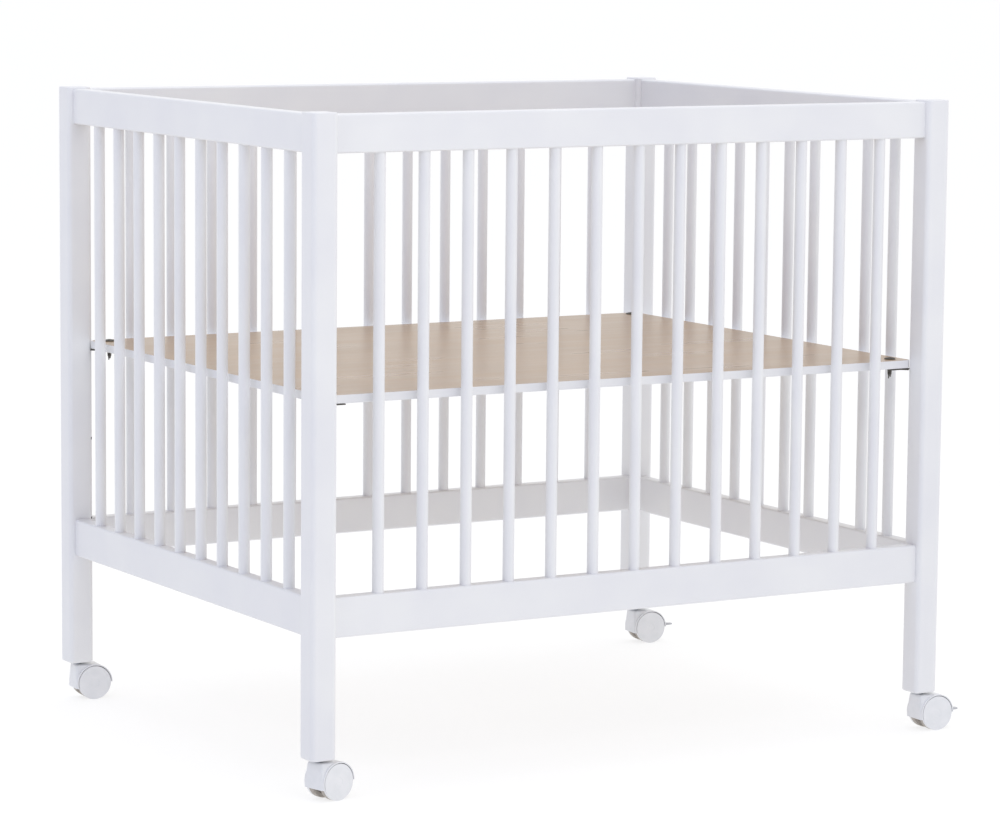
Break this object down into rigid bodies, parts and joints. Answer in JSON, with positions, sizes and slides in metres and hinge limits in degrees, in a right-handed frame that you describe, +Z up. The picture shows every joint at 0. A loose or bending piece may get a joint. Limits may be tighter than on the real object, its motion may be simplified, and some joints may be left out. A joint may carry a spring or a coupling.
{
  "type": "playpen",
  "caption": "Slatted wooden playpen on twin-wheel casters, with a floor board that can be set at three heights.",
  "frame": {"origin": "on the floor, under the middle of the rectangle of the four posts", "axes": "+X along the long sides to the braked casters, +Y from the front long side to the back one, +Z up"},
  "size_m": [1.0221, 0.7783, 0.872],
  "materials": {
    "white_lacquer": "beech and softwood, sprayed with white satin lacquer",
    "hardboard": "beige wood-fibre board with a smooth sealed face",
    "dark_steel": "steel with a dark zinc coating",
    "white_plastic": "injection-moulded white nylon"
  },
  "bodies": {
    "frame": {"post_front_left": "white_lacquer", "post_front_right": "white_lacquer", "post_back_left": "white_lacquer", "post_back_right": "white_lacquer", "top_rail_front": "white_lacquer", "bar_comb_front": "white_lacquer", "top_rail_right": "white_lacquer", "bar_comb_right": "white_lacquer", "top_rail_back": "white_lacquer", "bar_comb_back": "white_lacquer", "top_rail_left": "white_lacquer", "bar_comb_left": "white_lacquer", "stem_socket_front_left": "dark_steel", "caster_stem_front_left": "dark_steel", "stem_socket_front_right": "dark_steel", "caster_stem_front_right": "dark_steel", "stem_socket_back_left": "dark_steel", "caster_stem_back_left": "dark_steel", "stem_socket_back_right": "dark_steel", "caster_stem_back_right": "dark_steel"},
    "base": {"base_panel": "hardboard", "base_rail_front": "white_lacquer", "base_rail_back": "white_lacquer", "base_rail_left": "white_lacquer", "base_rail_right": "white_lacquer", "base_batten_left": "white_lacquer", "base_batten_right": "white_lacquer", "corner_plate_front_left": "dark_steel", "base_bolt_front_left": "dark_steel", "wing_nut_front_left": "dark_steel", "corner_plate_front_right": "dark_steel", "base_bolt_front_right": "dark_steel", "wing_nut_front_right": "dark_steel", "corner_plate_back_left": "dark_steel", "base_bolt_back_left": "dark_steel", "wing_nut_back_left": "dark_steel", "corner_plate_back_right": "dark_steel", "base_bolt_back_right": "dark_steel", "wing_nut_back_right": "dark_steel"},
    "caster_front_left": {"caster_hood_front_left": "white_plastic", "caster_axle_front_left": "dark_steel"},
    "wheel_body_outer_front_left": {"outer_wheel_front_left": "white_plastic"},
    "wheel_body_inner_front_left": {"inner_wheel_front_left": "white_plastic"},
    "caster_front_right": {"caster_hood_front_right": "white_plastic", "caster_axle_front_right": "dark_steel"},
    "wheel_body_outer_front_right": {"outer_wheel_front_right": "white_plastic"},
    "wheel_body_inner_front_right": {"inner_wheel_front_right": "white_plastic"},
    "brake_front_right": {"brake_lever_front_right": "white_plastic"},
    "caster_back_left": {"caster_hood_back_left": "white_plastic", "caster_axle_back_left": "dark_steel"},
    "wheel_body_outer_back_left": {"outer_wheel_back_left": "white_plastic"},
    "wheel_body_inner_back_left": {"inner_wheel_back_left": "white_plastic"},
    "caster_back_right": {"caster_hood_back_right": "white_plastic", "caster_axle_back_right": "dark_steel"},
    "wheel_body_outer_back_right": {"outer_wheel_back_right": "white_plastic"},
    "wheel_body_inner_back_right": {"inner_wheel_back_right": "white_plastic"},
    "brake_back_right": {"brake_lever_back_right": "white_plastic"}
  },
  "joints": [
    {"name": "base_height", "type": "slide", "parent": "frame", "child": "base", "axis": [0, 0, 1], "range_m": [-0.24, 0]},
    {"name": "swivel_front_left", "type": "hinge", "parent": "frame", "child": "caster_front_left", "pos_m": [-0.4695, -0.3695, 0.052], "axis": [0, 0, 1], "continuous": true},
    {"name": "outer_wheel_spin_front_left", "type": "hinge", "parent": "caster_front_left", "child": "wheel_body_outer_front_left", "pos_m": [-0.45009, -0.36466, 0.024], "axis": [-0.2419, 0.9703, 0], "continuous": true},
    {"name": "inner_wheel_spin_front_left", "type": "hinge", "parent": "caster_front_left", "child": "wheel_body_inner_front_left", "pos_m": [-0.45009, -0.36466, 0.024], "axis": [-0.2419, 0.9703, 0], "continuous": true},
    {"name": "swivel_front_right", "type": "hinge", "parent": "frame", "child": "caster_front_right", "pos_m": [0.4695, -0.3695, 0.052], "axis": [0, 0, 1], "continuous": true},
    {"name": "outer_wheel_spin_front_right", "type": "hinge", "parent": "caster_front_right", "child": "wheel_body_outer_front_right", "pos_m": [0.48949, -0.3702, 0.024], "axis": [0.0349, 0.9994, 0], "continuous": true},
    {"name": "inner_wheel_spin_front_right", "type": "hinge", "parent": "caster_front_right", "child": "wheel_body_inner_front_right", "pos_m": [0.48949, -0.3702, 0.024], "axis": [0.0349, 0.9994, 0], "continuous": true},
    {"name": "brake_press_front_right", "type": "hinge", "parent": "caster_front_right", "child": "brake_front_right", "pos_m": [0.50498, -0.37074, 0.0245], "axis": [0.0349, 0.9994, 0], "range_deg": [0, 14]},
    {"name": "swivel_back_left", "type": "hinge", "parent": "frame", "child": "caster_back_left", "pos_m": [-0.4695, 0.3695, 0.052], "axis": [0, 0, 1], "continuous": true},
    {"name": "outer_wheel_spin_back_left", "type": "hinge", "parent": "caster_back_left", "child": "wheel_body_outer_back_left", "pos_m": [-0.44958, 0.36776, 0.024], "axis": [0.0872, 0.9962, 0], "continuous": true},
    {"name": "inner_wheel_spin_back_left", "type": "hinge", "parent": "caster_back_left", "child": "wheel_body_inner_back_left", "pos_m": [-0.44958, 0.36776, 0.024], "axis": [0.0872, 0.9962, 0], "continuous": true},
    {"name": "swivel_back_right", "type": "hinge", "parent": "frame", "child": "caster_back_right", "pos_m": [0.4695, 0.3695, 0.052], "axis": [0, 0, 1], "continuous": true},
    {"name": "outer_wheel_spin_back_right", "type": "hinge", "parent": "caster_back_right", "child": "wheel_body_outer_back_right", "pos_m": [0.48939, 0.36741, 0.024], "axis": [0.1045, 0.9945, 0], "continuous": true},
    {"name": "inner_wheel_spin_back_right", "type": "hinge", "parent": "caster_back_right", "child": "wheel_body_inner_back_right", "pos_m": [0.48939, 0.36741, 0.024], "axis": [0.1045, 0.9945, 0], "continuous": true},
    {"name": "brake_press_back_right", "type": "hinge", "parent": "caster_back_right", "child": "brake_back_right", "pos_m": [0.50481, 0.36579, 0.0245], "axis": [0.1045, 0.9945, 0], "range_deg": [0, 14]}
  ]
}
